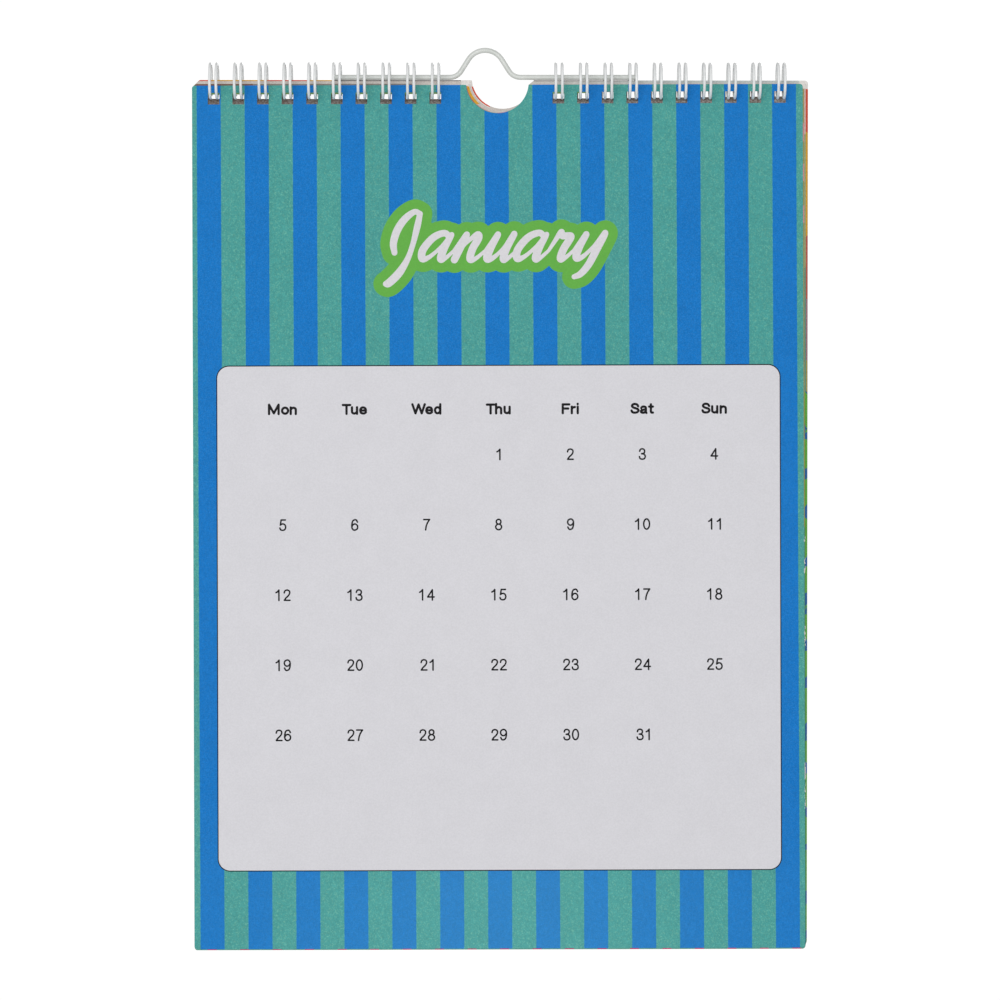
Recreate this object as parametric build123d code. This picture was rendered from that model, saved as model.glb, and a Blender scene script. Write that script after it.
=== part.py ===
from build123d import *
import math
import os

# A wire-bound wall calendar of A4 leaves, carried by a bent wire hanger. Sizes are in millimetres.
# The origin is where a nail carries the calendar: inside the top of the hanger's hump.
# X runs to the right as seen from the front, Y runs back to the wall, and Z runs up.

# Leaves and rear cover
leaf_width = 210.0
leaf_height = 297.0
leaf_corner_radius = 1.0
leaf_thickness = 0.2
later_leaf_count = 11
cover_thickness = 0.4
paper_clearance = 0.05

# Punched holes: one row at a fixed pitch, with the middle places left out for the thumb cut
hole_side = 4.0
hole_edge_margin = 2.5
hole_side_margin = 4.0
hole_pitch = 8.4667
middle_places_left_out = 4

# Thumb cut in the middle of the top edge
thumb_radius = 10.8
thumb_depth = 9.8

# Twin-loop binding wire
binding_wire_diameter = 0.95
ring_diameter = 12.7
strand_spacing = 2.2
root_bend_radius = 1.0
root_angle_deg = 2.0
tip_angle_deg = 335.0

# Clearance of the binding wire's tips behind the rear cover, and how far the middle of a hole
# hangs below the wire that passes it
seam_clearance = 0.094
front_hole_play = 0.09
rear_hole_play = 0.25

# Sideways distance from the middle of a tooth to the middle of its hole
front_hole_shift = -0.2
rear_hole_shift = 0.22

# The sheets lie a little out of line: each one is further right and less turned than the one before
stack_shift = 2.0
front_turn_deg = 0.17
rear_turn_deg = -0.08

# Hanger
hanger_wire_diameter = 1.75
hanger_length = 104.8
hump_height = 9.3
hump_crown_radius = 6.8
hump_half_width = 9.6
hump_foot_radius = 4.6
wire_end_rounding = 0.3
hanger_offset = 4.2
rod_clearance = 0.11
rod_stack_clearance = 0.175

# Places worked out from the sizes. The y and z of the sheets and the rod start as distances behind
# and above the middle of the rings.
ring_wire_radius = binding_wire_diameter / 2
ring_radius = ring_diameter / 2 - ring_wire_radius
ring_inner_radius = ring_diameter / 2 - binding_wire_diameter
stack_depth = (1 + later_leaf_count) * leaf_thickness + cover_thickness + 2 * paper_clearance
stack_back = ring_inner_radius * math.cos(math.radians(tip_angle_deg)) - seam_clearance
leaf_setback = stack_back - stack_depth
front_middle = leaf_setback + leaf_thickness / 2
rear_middle = stack_back - cover_thickness / 2
edge_above_hole = hole_edge_margin + hole_side / 2
front_top = edge_above_hole - front_hole_play - math.sqrt(ring_radius**2 - front_middle**2)
rear_top = edge_above_hole - rear_hole_play - math.sqrt(ring_radius**2 - rear_middle**2)
rod_radius = hanger_wire_diameter / 2
rod_height = rear_top + rod_stack_clearance + rod_radius
rod_distance = ring_inner_radius - rod_clearance - rod_radius
rod_setback = math.sqrt(rod_distance**2 - rod_height**2)

rod_z = rod_radius - hump_height
ring_y = -rod_setback
ring_z = rod_z - rod_height
calendar_x = hanger_offset
front_leaf_y = ring_y + leaf_setback
front_leaf_top_z = ring_z + front_top
stack_rise = rear_top - front_top
later_leaves_y = front_leaf_y + leaf_thickness + paper_clearance
rear_cover_y = later_leaves_y + later_leaf_count * leaf_thickness + paper_clearance
punched_half_width = leaf_width / 2 - hole_side_margin - hole_side / 2
places_per_half = math.floor((punched_half_width + hole_pitch / 2) / hole_pitch)
place_count = 2 * places_per_half
teeth_per_half = places_per_half - middle_places_left_out // 2


def tooth_places():
    """X of the middle of every tooth, left half first."""
    places = []
    for index in range(place_count):
        if index < teeth_per_half or index >= place_count - teeth_per_half:
            places.append(calendar_x + (index - (place_count - 1) / 2) * hole_pitch)
    return places


def sheet(front_y, thickness, order_share):
    """One punched sheet. The share is 0 for the front leaf and 1 for the rear cover."""
    turn_deg = front_turn_deg + (rear_turn_deg - front_turn_deg) * order_share
    top_x = calendar_x + stack_shift * order_share
    top_z = front_leaf_top_z + stack_rise * order_share
    top_middle = Pos(top_x, top_z) * Rot(0, 0, turn_deg)
    outline = RectangleRounded(leaf_width, leaf_height, leaf_corner_radius)
    outline = top_middle * Pos(0, -leaf_height / 2) * outline
    thumb_cut = top_middle * Pos(0, thumb_radius - thumb_depth) * Circle(thumb_radius)
    hole_shift = front_hole_shift + (rear_hole_shift - front_hole_shift) * order_share - top_x
    hole = Pos(0, -hole_edge_margin - hole_side / 2) * Rectangle(hole_side, hole_side)
    holes = [top_middle * Pos(x + hole_shift, 0) * hole for x in tooth_places()]
    face = outline - thumb_cut - holes
    back = Plane(origin=(0, front_y + thickness, 0), x_dir=(1, 0, 0), z_dir=(0, -1, 0))
    return extrude(back * face, thickness)


def make_front_leaf():
    return sheet(front_leaf_y, leaf_thickness, 0)


def make_later_leaves():
    """The leaves behind the first one, as one stepped block."""
    leaves = []
    for index in range(later_leaf_count):
        order_share = (index + 1) / (later_leaf_count + 1)
        leaves.append(sheet(later_leaves_y + index * leaf_thickness, leaf_thickness, order_share))
    return leaves[0].fuse(*leaves[1:])


def make_rear_cover():
    return sheet(rear_cover_y, cover_thickness, 1)


def strand(x):
    """One strand of a ring, from its root at the back, over the top and front, to its tip."""
    middle = Plane(origin=(x, ring_y, ring_z), x_dir=(0, 1, 0), z_dir=(1, 0, 0))
    return Edge.make_circle(ring_radius, middle, root_angle_deg, tip_angle_deg)


def tangent_plane(x, angle_deg, forward):
    """A plane on the ring, with its second direction along the ring, forward or backward."""
    angle = math.radians(angle_deg)
    place = (x, ring_y + ring_radius * math.cos(angle), ring_z + ring_radius * math.sin(angle))
    normal = Vector(0, -math.cos(angle), -math.sin(angle))
    return Plane(origin=place, x_dir=(1, 0, 0), z_dir=normal * forward)


def tip_bend(x):
    """The narrow bend that joins the two strands of one tooth."""
    return Edge.make_circle(strand_spacing / 2, tangent_plane(x, tip_angle_deg, 1), 0, 180)


def root_bends(x_start, x_end):
    """The wide bend that joins a tooth to the next one."""
    start = tangent_plane(x_start + root_bend_radius, root_angle_deg, -1)
    end = tangent_plane(x_end - root_bend_radius, root_angle_deg, -1)
    first = Edge.make_circle(root_bend_radius, start, 90, 180)
    last = Edge.make_circle(root_bend_radius, end, 0, 90)
    straight = Edge.make_line(start.from_local_coords((0, root_bend_radius, 0)),
                              end.from_local_coords((0, root_bend_radius, 0)))
    return [first, straight, last]


def make_binding_wire(places):
    """One continuous wire, bent into a row of double-stranded teeth."""
    edges = []
    for index, x in enumerate(places):
        edges.append(strand(x - strand_spacing / 2))
        edges.append(tip_bend(x))
        edges.append(strand(x + strand_spacing / 2))
        if index + 1 < len(places):
            edges.extend(root_bends(x + strand_spacing / 2, places[index + 1] - strand_spacing / 2))
    path = Wire(edges)
    section = Plane(origin=path @ 0, z_dir=path % 0) * Circle(ring_wire_radius)
    return sweep(section, path=path)


def make_hanger_wire():
    """A straight wire with a hump in its middle, which the nail carries."""
    crown_z = hump_height - hump_crown_radius
    foot_to_crown = math.hypot(hump_half_width, crown_z)
    leg_angle = math.atan2(crown_z, hump_half_width) + math.asin(hump_crown_radius / foot_to_crown)
    corner_z = hump_half_width * math.tan(leg_angle)
    points = [
        (-hanger_length / 2, 0, rod_z),
        (-hump_half_width, 0, rod_z),
        (0, 0, rod_z + corner_z),
        (hump_half_width, 0, rod_z),
        (hanger_length / 2, 0, rod_z),
    ]
    path = FilletPolyline(*points, radius=[hump_foot_radius, hump_crown_radius, hump_foot_radius])
    section = Plane(origin=points[0], z_dir=(1, 0, 0)) * Circle(rod_radius)
    wire = sweep(section, path=path)
    ends = wire.faces().sort_by(Axis.X)
    return fillet(ends[0].edges() + ends[-1].edges(), wire_end_rounding)


places = tooth_places()
nodes = {
    "hanger_wire": make_hanger_wire(),
    "binding_wire_left": make_binding_wire(places[:teeth_per_half]),
    "binding_wire_right": make_binding_wire(places[teeth_per_half:]),
    "front_leaf": make_front_leaf(),
    "later_leaves": make_later_leaves(),
    "rear_cover": make_rear_cover(),
}

os.makedirs("parts", exist_ok=True)
for name, solid in nodes.items():
    export_step(solid, f"parts/{name}.step")
    print(name, round(solid.volume, 3), len(solid.solids()), solid.is_valid)
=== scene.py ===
import bpy
import bmesh
import math
import numpy as np
from mathutils import Matrix, Vector


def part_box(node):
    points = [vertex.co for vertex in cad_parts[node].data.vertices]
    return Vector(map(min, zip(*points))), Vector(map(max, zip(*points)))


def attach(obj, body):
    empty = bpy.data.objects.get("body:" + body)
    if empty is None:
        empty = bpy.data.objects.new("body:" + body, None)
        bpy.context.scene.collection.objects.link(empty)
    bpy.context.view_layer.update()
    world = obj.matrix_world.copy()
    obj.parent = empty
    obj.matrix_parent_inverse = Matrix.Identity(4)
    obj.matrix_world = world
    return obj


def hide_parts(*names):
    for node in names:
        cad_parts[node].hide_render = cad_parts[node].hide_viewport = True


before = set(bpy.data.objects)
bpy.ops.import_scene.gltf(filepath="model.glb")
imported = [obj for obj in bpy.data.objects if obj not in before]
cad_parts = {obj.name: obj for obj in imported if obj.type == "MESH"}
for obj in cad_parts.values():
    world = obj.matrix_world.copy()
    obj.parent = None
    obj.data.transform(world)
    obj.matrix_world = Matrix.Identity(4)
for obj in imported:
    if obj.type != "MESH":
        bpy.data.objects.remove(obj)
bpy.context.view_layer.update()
scene = bpy.context.scene

MM = 0.001

# The camera stands straight in front, at the height of the middle of the pad. Lengths in millimetres.
CAMERA_PLACE = (5.12, -1400.0, -153.97)
CAMERA_SENSOR = 36.0
CAMERA_LENS = 146.35

camera_data = bpy.data.cameras.new("photo_camera")
camera_data.sensor_width = CAMERA_SENSOR
camera_data.lens = CAMERA_LENS
camera = bpy.data.objects.new("photo_camera", camera_data)
scene.collection.objects.link(camera)
camera.location = [value * MM for value in CAMERA_PLACE]
camera.rotation_euler = (math.radians(90), 0, 0)
scene.camera = camera

# Sizes of the sheets, in millimetres: the same values that the frame was built from
SHEET_WIDTH = 210.0
SHEET_HEIGHT = 297.0
SHEET_CORNER = 1.0
THUMB_RADIUS = 10.8
THUMB_DEPTH = 9.8
HOLE_SIDE = 4.0
HOLE_DROP = 4.5
HOLE_PITCH = 8.4667
HOLE_PLACES = 24
MIDDLE_PLACES_LEFT_OUT = 4
FRONT_HOLE_SHIFT = -0.2
REAR_HOLE_SHIFT = 0.22
LATER_SHEETS = 11
SHEET_SPACING = 0.2
COVER_THICKNESS = 0.4
TOP_MIDDLE_X = 4.2
FRONT_TOP_Z = -11.185
STACK_SHIFT = 2.0
STACK_RISE = 1.71
FRONT_TURN = 0.17
REAR_TURN = -0.08

FRONT_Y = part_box("front_leaf")[0].y / MM
LATER_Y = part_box("later_leaves")[0].y / MM
COVER_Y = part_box("rear_cover")[0].y / MM
SHEET_STEP_SHARE = 1 / (LATER_SHEETS + 1)

# The later sheets as they show: with air between them, the rear ones higher, the near ones longer
SHOWN_THICKNESS = 0.155
SHOWN_STACK_RISE = 1.92
SHOWN_HEIGHT_GAIN_SHARE = 0.0019

# What their holes lose at the top, fading out between two places right of the middle, and at the
# bottom, growing from the middle to the last hole
SHOWN_TOP_LOSS = 0.75
TOP_LOSS_PLACES = [25, 45]
SHOWN_BOTTOM_LOSS = 1.06
BOTTOM_LOSS_PLACES = [0, 98]

# The print, in millimetres from the middle of the sheet's top edge: right and up
STRIPE_WIDTH = 8.244
STRIPE_TURN = 0.1
STRIPE_SHIFT = -0.1
PANEL_LEFT, PANEL_RIGHT = -96.6, 96.75
PANEL_BOTTOM, PANEL_TOP = -269.95, -96.65
PANEL_CORNER = 4.0
PANEL_LINE = 0.35
COLUMN_PITCH = 24.74
WEEKDAY_HEIGHT = -111.4
FIRST_ROW = -127.1
ROW_PITCH = 24.1
TITLE_BASELINE = -60.75
TITLE_LEFT, TITLE_RIGHT = -39.8, 38.2

# Layers of ink: their lower and upper side above the paper, in millimetres
LINE_LAYER = (0.001, 0.006)
FIELD_LAYER = (0.001, 0.012)
LETTER_LAYER = (0.011, 0.018)


def ink(red, green, blue):
    """A colour given as 8-bit values, in the linear values that a shader takes."""
    shares = [value / 255 for value in (red, green, blue)]
    return (*[s / 12.92 if s <= 0.04045 else ((s + 0.055) / 1.055) ** 2.4 for s in shares], 1.0)


# Procedural finishes. Sizes in them are in millimetres too.

# Most of a noise lies between these values
NOISE_LOW, NOISE_HIGH = 0.3, 0.7


def new_finish(name, roughness):
    material = bpy.data.materials.new(name)
    material.use_nodes = True
    shader = material.node_tree.nodes["Principled BSDF"]
    shader.inputs["Roughness"].default_value = roughness
    return material, material.node_tree, shader


def step(tree, kind, values, **settings):
    """Adds one node. Each value is a number, a colour or the output that feeds the input."""
    node = tree.nodes.new(kind)
    for key, value in settings.items():
        setattr(node, key, value)
    for key, value in values.items():
        if isinstance(value, bpy.types.NodeSocket):
            tree.links.new(value, node.inputs[key])
        else:
            node.inputs[key].default_value = value
    return node


def sum_of(tree, operation, *values):
    """The result of one step of arithmetic."""
    return step(tree, "ShaderNodeMath", dict(enumerate(values)), operation=operation).outputs[0]


def above(tree, value, limit):
    """1 where the value is above the limit, otherwise 0."""
    return sum_of(tree, "GREATER_THAN", value, limit)


def below(tree, value, limit):
    """1 where the value is below the limit, otherwise 0."""
    return sum_of(tree, "LESS_THAN", value, limit)


def all_of(tree, *conditions):
    """1 where all the conditions are 1."""
    share = conditions[0]
    for condition in conditions[1:]:
        share = sum_of(tree, "MULTIPLY", share, condition)
    return share


def any_of(tree, *conditions):
    """1 where at least one of the conditions is 1."""
    share = conditions[0]
    for condition in conditions[1:]:
        share = sum_of(tree, "MAXIMUM", share, condition)
    return share


def within(tree, value, low, high):
    """1 where the value lies between low and high."""
    return all_of(tree, above(tree, value, low), below(tree, value, high))


def blended(tree, share, first, second):
    return step(tree, "ShaderNodeMix", {0: share, 6: first, 7: second}, data_type="RGBA").outputs[2]


def object_place(tree):
    return step(tree, "ShaderNodeTexCoord", {}).outputs["Object"]


def along(tree, place, origin, direction):
    """How far a place is from the origin, measured along a direction, in millimetres."""
    offset = step(tree, "ShaderNodeVectorMath", {0: place, 1: origin}, operation="SUBTRACT").outputs[0]
    length = tuple(value / MM for value in direction)
    product = step(tree, "ShaderNodeVectorMath", {0: offset, 1: length}, operation="DOT_PRODUCT")
    return product.outputs["Value"]


def noise(tree, place, size, detail=2.0):
    """Noise whose patches are about as large as the size."""
    values = {"Vector": place, "Scale": 1 / (size * MM), "Detail": detail}
    return step(tree, "ShaderNodeTexNoise", values).outputs["Fac"]


def mapped(tree, value, low, high, new_low, new_high):
    """A value between low and high, carried over to lie between the new ones, and held inside them."""
    values = {0: value, 1: low, 2: high, 3: new_low, 4: new_high}
    return step(tree, "ShaderNodeMapRange", values).outputs[0]


def spots(tree, place, size, low, high, most=1.0, detail=2.0):
    """0 where the noise is low, rising to the most where it is high."""
    return mapped(tree, noise(tree, place, size, detail), low, high, 0.0, most)


def wander(tree, place, size, reach):
    """A shift to either side, up to the reach."""
    return mapped(tree, noise(tree, place, size), NOISE_LOW, NOISE_HIGH, -reach, reach)


def grain(tree, place, size, spread):
    """A brightness near 1 that varies like the grain of the paper or the ink."""
    return mapped(tree, noise(tree, place, size), NOISE_LOW, NOISE_HIGH, 1 - spread, 1 + spread)


def shaded(tree, colour, brightness):
    """A colour made lighter or darker by a brightness near 1."""
    values = {0: colour[:3] if isinstance(colour, tuple) else colour, "Scale": brightness}
    return step(tree, "ShaderNodeVectorMath", values, operation="SCALE").outputs[0]


def roughened(tree, shader, place, size, depth):
    """A fine relief of noise."""
    values = {"Height": noise(tree, place, size), "Strength": 1.0, "Distance": depth * MM}
    bump = step(tree, "ShaderNodeBump", values)
    tree.links.new(bump.outputs["Normal"], shader.inputs["Normal"])


def finish_paper(tree, shader, place, colour, relief_size=0.35, relief_depth=0.004):
    """Gives paper, card or ink its colour, very little shine and a fine relief."""
    tree.links.new(colour, shader.inputs["Base Color"])
    shader.inputs["Specular IOR Level"].default_value = 0.12
    roughened(tree, shader, place, relief_size, relief_depth)


def chosen_band(tree, value, *bands):
    """One of the colours, each given as (the value from which it holds, colour)."""
    colour = bands[0][1]
    for start, other in bands[1:]:
        colour = blended(tree, above(tree, value, start), colour, other)
    return colour


def repeated(tree, value, pitch, width):
    """1 in bands of a width, repeated at a pitch."""
    return below(tree, sum_of(tree, "FLOORED_MODULO", value, pitch), width)


# The papers, the inks, the wires' coats, and the colours of painted shade and of a painted sheen
PAPER_WHITE = ink(226, 224, 221)
PAPER_EDGE = ink(206, 201, 195)
WORN_PAPER = ink(232, 228, 224)
BLUE_INK = ink(13, 116, 195)
PALE_BLUE_INK = ink(52, 132, 202)
GREEN_BLUE_INK = ink(74, 156, 151)
PALE_GREEN_INK = ink(122, 188, 162)
# The tint of a painted sheen of light on the foot of the front page
PAINTED_SHEEN_TINT = (0.35, 1.0, 1.0, 1.0)
PANEL_INK = ink(216, 215, 220)
HALO_INK = ink(101, 175, 73)
LETTER_INK = ink(218, 216, 220)
TEXT_INK = ink(18, 16, 20)
PINK_GREY = ink(212, 184, 178)
PINK_INK = ink(214, 150, 146)
CRIMSON_INK = ink(186, 58, 104)
RED_INK = ink(214, 84, 58)
BRICK_INK = ink(190, 98, 84)
MAUVE_INK = ink(160, 124, 132)
GOLD_INK = ink(218, 166, 58)
OLIVE_INK = ink(164, 156, 96)
SAGE_INK = ink(160, 172, 132)
LEAF_INK = ink(104, 172, 72)
SEA_INK = ink(98, 156, 140)
DEEP_BLUE_INK = ink(52, 104, 164)
BEIGE_GREY = ink(208, 201, 195)
COOL_GREY = ink(200, 206, 204)
# Painted shade in the punched holes: brown and grey over the print, and green ink in shade
HOLE_SHADE_BROWN = ink(113, 99, 91)
HOLE_SHADE_GREY = ink(152, 149, 146)
HOLE_SHADE_GREEN = ink(112, 150, 92)
# Brown print in painted shade along the front leaf's top edge
EDGE_SHADE_BROWN = ink(128, 92, 76)
# A painted shadow under the hanger, on the rear sheets' top margin
ROD_SHADOW_GREY = ink(92, 84, 80)
SHADE_GREY = ink(140, 134, 128)
HANGER_WHITE = ink(213, 216, 212)
HANGER_SHADE = ink(203, 207, 202)
BINDING_WHITE = ink(237, 238, 238)
BINDING_SHADE = ink(226, 228, 228)
CARD_PALE = ink(222, 217, 208)
CARD_FIBRE = ink(207, 200, 189)
FLOOR_PALE = ink(244, 244, 243)


def order_share(order):
    """The share of the stack's shift, rise and turn that a later sheet has. The first has order 0."""
    return (order + 1) * SHEET_STEP_SHARE


def sheet_turn(share):
    return math.radians(FRONT_TURN + (REAR_TURN - FRONT_TURN) * share)


def sheet_axes(share, front_y):
    """The middle of a sheet's top edge and its directions right and up."""
    turn = sheet_turn(share)
    origin = Vector((TOP_MIDDLE_X + STACK_SHIFT * share, front_y, FRONT_TOP_Z + STACK_RISE * share)) * MM
    right = Vector((math.cos(turn), 0, math.sin(turn)))
    up = Vector((-math.sin(turn), 0, math.cos(turn)))
    return origin, right, up


def print_grain(tree, place, colour, spread):
    """A printed colour with fine grain and broad, faint patches."""
    fine = shaded(tree, colour, grain(tree, place, size=0.42, spread=spread))
    coarse = shaded(tree, fine, grain(tree, place, size=0.9, spread=spread * 0.6))
    return shaded(tree, coarse, grain(tree, place, size=16, spread=0.025))


# How far the inked edges of the stripes wander, and in patches of what size
STRIPE_WANDER = 0.06
STRIPE_WANDER_SIZE = 0.5

# The painted sheen of light on the foot of the front page, strongest in its middle: where it grows, down from
# the top edge, and where it fades, out from the middle
SHEEN_START, SHEEN_END = 240, 275
SHEEN_SHARE = 0.06
SHEEN_MIDDLE, SHEEN_SIDE = 20, 100
SHEEN_SIDE_SHARE = 0.25

# How deep the print reaches into the front leaf, and into the sheets behind it
FRONT_PRINT_DEPTH = 0.004
LATER_PRINT_DEPTH = 0.01


def striped_paper():
    """Upright stripes of blue and blue-green ink on the front, a painted sheen at its foot, bare paper on the
    edges and back.
    """
    material, tree, shader = new_finish("striped_paper", roughness=0.7)
    place = object_place(tree)
    origin, right, up = sheet_axes(0, FRONT_Y)
    middle = origin - up * (SHEET_HEIGHT / 2 * MM) + right * (STRIPE_SHIFT * MM)
    turn = sheet_turn(0) + math.radians(STRIPE_TURN)
    across = along(tree, place, middle, (math.cos(turn), 0, math.sin(turn)))
    wavy = sum_of(tree, "ADD", across, wander(tree, place, STRIPE_WANDER_SIZE, STRIPE_WANDER))
    stripe = sum_of(tree, "FLOOR", sum_of(tree, "MULTIPLY_ADD", wavy, 1 / STRIPE_WIDTH, 0.5))
    second_ink = sum_of(tree, "FLOORED_MODULO", stripe, 2.0)
    pale = spots(tree, place, size=0.35, low=0.4, high=0.7, most=0.5)
    blue = print_grain(tree, place, blended(tree, pale, BLUE_INK, PALE_BLUE_INK), spread=0.1)
    speckle = spots(tree, place, size=0.4, low=0.52, high=0.7, most=0.55)
    green_blue = blended(tree, speckle, GREEN_BLUE_INK, PALE_GREEN_INK)
    green_blue = print_grain(tree, place, green_blue, spread=0.13)
    printed = blended(tree, second_ink, blue, green_blue)
    down = along(tree, place, origin, -up)
    # A painted sheen of light: the stripes blend towards a pale tint near the foot, most in the middle
    painted_sheen = mapped(tree, down, SHEEN_START, SHEEN_END, 0.0, SHEEN_SHARE)
    fading = mapped(tree, sum_of(tree, "ABSOLUTE", across), SHEEN_MIDDLE, SHEEN_SIDE, 1.0, SHEEN_SIDE_SHARE)
    printed = blended(tree, sum_of(tree, "MULTIPLY", painted_sheen, fading), printed, PAINTED_SHEEN_TINT)
    depth = along(tree, place, origin, (0, 1, 0))
    bare = shaded(tree, PAPER_WHITE, grain(tree, place, size=0.8, spread=0.02))
    paper = blended(tree, below(tree, depth, FRONT_PRINT_DEPTH), bare, printed)
    finish_paper(tree, shader, place, paper)
    return material


# The margins of the fanned sheets, as they show round the front leaf. Places are measured from the
# middle of its top edge, right and down. An order counts the later sheets from the front.
TOP_MARGIN_LIMIT = 0.4
FOOT_MARGIN = 1.5
CUT_MARGIN_WIDTH = 2.5
CUT_MARGIN_LIMIT = 13.0
CUT_INKS_LEFT = -2.6
WORN_CUT_LEFT, WORN_CUT_RIGHT = -12.5, -7.8
WORN_CORNER_WIDTH, WORN_CORNER_LIMIT = 1.2, 1.6
RUBBED_STRETCHES = ((155.5, 157.5), (162.5, 168.0), (186.5, 192.5), (233.5, 248.5))
RUBBED_ORDERS = 4.5

# The chequered print near the top of the right margin, the leafy one further down, and where, as
# shares of the way across, the middle sheets' beige turns cool along the top margin
CHEQUER_PITCH, CHEQUER_WIDTH = 13.8, 6.2
LEAF_PITCH, LEAF_GAP = 14.6, 4.0
COOLING_START_SHARE, COOLING_END_SHARE = 0.45, 0.8

# The second page: its stripes, and how far inside the sheet's edges its print ends
PAGE_STRIPE_PITCH, PAGE_STRIPE_WIDTH = 11.17, 3.1
PAGE_EDGE = 0.5

# The painted shade in and below the punched holes, in rough brown and grey patches over the print: how far it
# reaches from a hole's middle, over and under the hole, and between which distances from the middle of the
# sheet. The holes left of a place have green ink in painted shade down to a limit.
HOLE_SHADE_HALF_WIDTH = 2.7
HOLE_SHADE_OVER, HOLE_SHADE_UNDER = 2.0, 0.1
HOLE_SHADE_START, HOLE_SHADE_END = 15.0, 101.0
SHADED_GREEN_LIMIT = 3.5
SHADED_GREEN_RIGHT = 35.0


def side_margin(tree, place, down, order):
    """The inks down the right margin: bands by the depth, and others on the sheets further back."""
    chequered = blended(tree, repeated(tree, down, CHEQUER_PITCH, CHEQUER_WIDTH), OLIVE_INK, PINK_INK)
    inner = chosen_band(tree, down, (0, OLIVE_INK), (6.0, chequered), (52.0, OLIVE_INK), (152.0, SEA_INK))
    wavy = sum_of(tree, "ADD", down, wander(tree, place, size=9, reach=3.0))
    leafy = blended(tree, repeated(tree, wavy, LEAF_PITCH, LEAF_GAP), LEAF_INK, DEEP_BLUE_INK)
    middle = chosen_band(tree, down, (0, PINK_GREY), (17.0, SAGE_INK), (63.0, SEA_INK), (106.0, leafy))
    outer = chosen_band(tree, down, (0, RED_INK), (16.5, GOLD_INK), (52.0, BRICK_INK),
                        (74.0, MAUVE_INK), (95.0, OLIVE_INK), (106.0, leafy))
    inks = chosen_band(tree, order, (0, inner), (2.5, middle), (6.5, outer))
    stretches = [within(tree, down, start, end) for start, end in RUBBED_STRETCHES]
    rubbed = all_of(tree, below(tree, order, RUBBED_ORDERS), any_of(tree, *stretches),
                    above(tree, noise(tree, place, size=1.1, detail=4.0), 0.5))
    return blended(tree, rubbed, inks, WORN_PAPER)


def top_margin(tree, across, order):
    """The inks along the top margin, with painted shade: bands by the share of the way across, and by the
    sheets' order.
    """
    # The rear sheets: print, then a painted shadow under the hanger across the middle, then cool grey
    upper = chosen_band(tree, across, (0, RED_INK), (0.031, GOLD_INK), (0.123, RED_INK),
                        (0.192, GOLD_INK), (0.229, ROD_SHADOW_GREY), (0.73, COOL_GREY))
    # The front sheets: brown print in painted shade along the front leaf's edge, then painted shade grey,
    # then beige grey
    lower = chosen_band(tree, across, (0, EDGE_SHADE_BROWN), (0.1, SHADE_GREY), (0.36, BEIGE_GREY))
    cooling = mapped(tree, across, COOLING_START_SHARE, COOLING_END_SHARE, 0.0, 1.0)
    middle = blended(tree, cooling, BEIGE_GREY, COOL_GREY)
    return chosen_band(tree, order, (0, lower), (2.5, middle), (8.5, upper))


def cut_margin(tree, x, down, order):
    """The inks inside the left half of the thumb cut: bands by the sheets' order."""
    thin_line = chosen_band(tree, order, (0, PINK_INK), (1.5, BEIGE_GREY))
    inner = chosen_band(tree, down, (0, GOLD_INK), (6.6, thin_line))
    left = chosen_band(tree, order, (0, inner), (4.5, BEIGE_GREY), (7.5, WORN_PAPER), (8.5, RED_INK))
    return blended(tree, above(tree, x, CUT_INKS_LEFT), left, BEIGE_GREY)


def second_stripes(tree, x):
    """The second page's stripes."""
    return blended(tree, repeated(tree, x, PAGE_STRIPE_PITCH, PAGE_STRIPE_WIDTH), SEA_INK, CRIMSON_INK)


def front_page_places(tree, place):
    """How far a place is right of and below the middle of the front leaf's top edge."""
    origin, right, up = sheet_axes(0, FRONT_Y)
    return along(tree, place, origin, right), along(tree, place, origin, -up)


def margin_print(tree, place, order):
    """The inks that show along the margins of the fanned sheets, with painted shade along the top."""
    x, down = front_page_places(tree, place)
    across = sum_of(tree, "MULTIPLY_ADD", x, 1 / SHEET_WIDTH, 0.5)
    wavy = sum_of(tree, "ADD", down, wander(tree, place, size=3, reach=0.8))
    on_top = below(tree, down, TOP_MARGIN_LIMIT)
    margin = blended(tree, on_top, side_margin(tree, place, wavy, order), top_margin(tree, across, order))
    from_middle = sum_of(tree, "ABSOLUTE", x)
    in_cut = all_of(tree, below(tree, from_middle, THUMB_RADIUS + CUT_MARGIN_WIDTH),
                    within(tree, down, TOP_MARGIN_LIMIT, CUT_MARGIN_LIMIT))
    margin = blended(tree, in_cut, margin, cut_margin(tree, x, down, order))
    worn_cut = all_of(tree, within(tree, x, WORN_CUT_LEFT, WORN_CUT_RIGHT), on_top)
    worn_corner = all_of(tree, above(tree, x, SHEET_WIDTH / 2 - WORN_CORNER_WIDTH),
                         below(tree, down, WORN_CORNER_LIMIT))
    margin = blended(tree, any_of(tree, worn_cut, worn_corner), margin, WORN_PAPER)
    at_foot = above(tree, down, SHEET_HEIGHT - FOOT_MARGIN)
    margin = blended(tree, at_foot, margin, second_stripes(tree, x))
    return print_grain(tree, place, margin, spread=0.12)


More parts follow.
